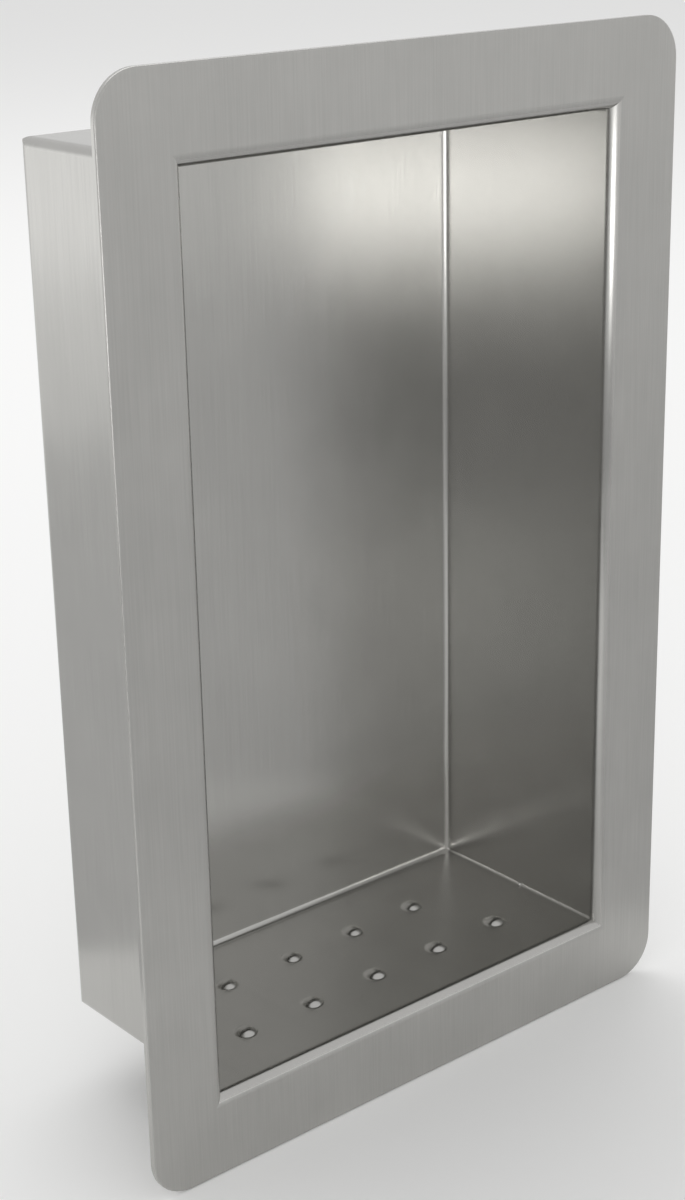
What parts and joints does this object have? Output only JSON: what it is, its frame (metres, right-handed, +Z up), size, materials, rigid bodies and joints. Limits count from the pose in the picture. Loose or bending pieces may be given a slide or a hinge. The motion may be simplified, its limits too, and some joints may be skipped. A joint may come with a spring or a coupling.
{
  "type": "recessed soap holder",
  "caption": "Deep rectangular pan folded and welded in stainless sheet, with a flat flange round its mouth and raised dimples in its floor, set into a wall to hold soap.",
  "frame": {"origin": "middle of the mouth, in the plane of the wall that the flange's back face lies on", "axes": "+Z up, +X across the mouth to the right as seen from the room, +Y into the wall; the mouth faces -Y"},
  "size_m": [0.152, 0.055, 0.233],
  "materials": {
    "stainless_sheet": "satin ground flange, with a fine vertical grain on the pan"
  },
  "bodies": {
    "root": {"flanged_pan": "stainless_sheet"}
  },
  "joints": []
}
